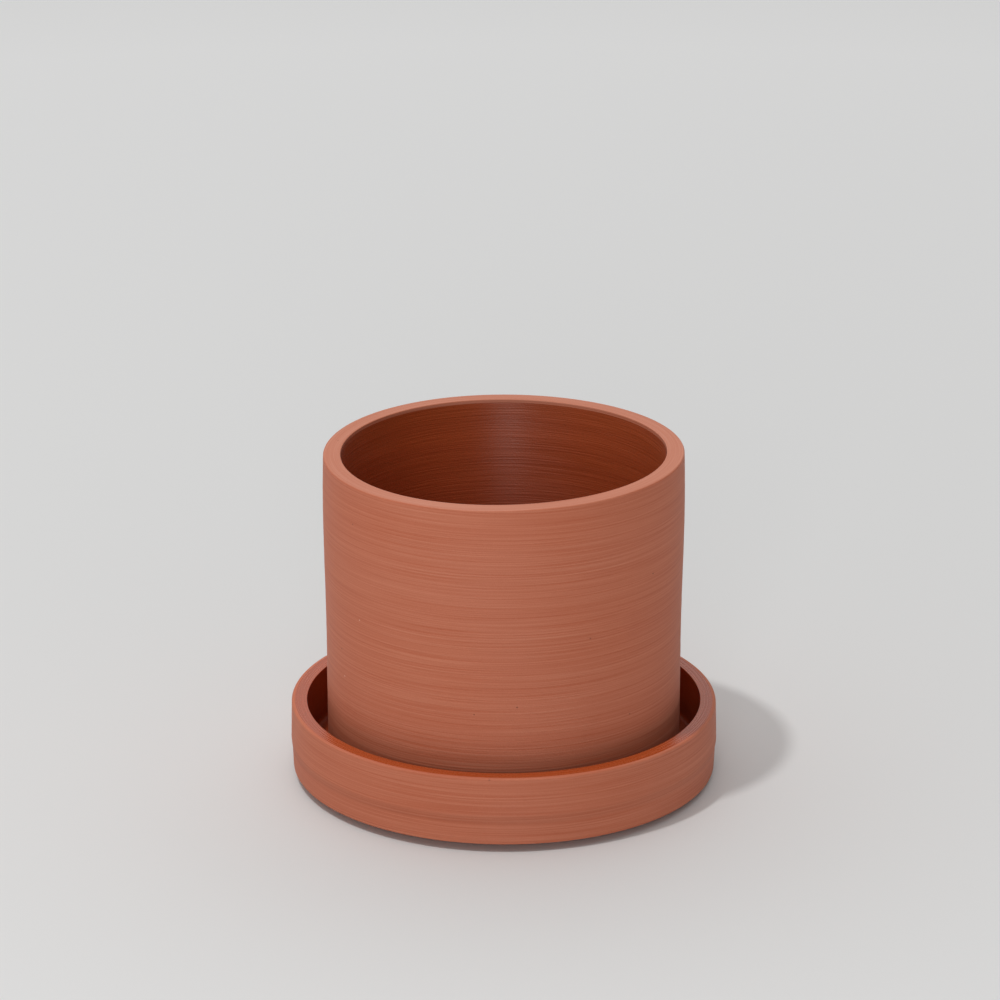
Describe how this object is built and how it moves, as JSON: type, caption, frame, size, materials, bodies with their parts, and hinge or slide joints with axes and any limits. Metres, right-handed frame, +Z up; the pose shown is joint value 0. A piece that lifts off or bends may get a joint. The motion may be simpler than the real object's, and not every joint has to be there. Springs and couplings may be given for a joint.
{
  "type": "plant pot with saucer",
  "caption": "Straight-sided terracotta plant pot with a drain hole, standing loose in a deep matching saucer on rubber feet.",
  "frame": {"origin": "on the common axis of the pot and the saucer, at the level that the rubber feet stand on", "axes": "+Z up along the common axis, +Y away from the viewer and +X to the right; the pot and the saucer are round, so X and Y are set by the feet, which lie on the diagonals"},
  "size_m": [0.1794, 0.1794, 0.1421],
  "materials": {
    "pot_clay": "matte",
    "saucer_clay": "matte",
    "foot_rubber": "matte"
  },
  "bodies": {
    "saucer": {"saucer": "saucer_clay", "foot_front_left": "foot_rubber", "foot_front_right": "foot_rubber", "foot_rear_left": "foot_rubber", "foot_rear_right": "foot_rubber"},
    "pot": {"pot": "pot_clay"}
  },
  "joints": [
    {"name": "pot_lift", "type": "slide", "parent": "saucer", "child": "pot", "axis": [0, 0, 1], "range_m": [0, 0.06]}
  ]
}
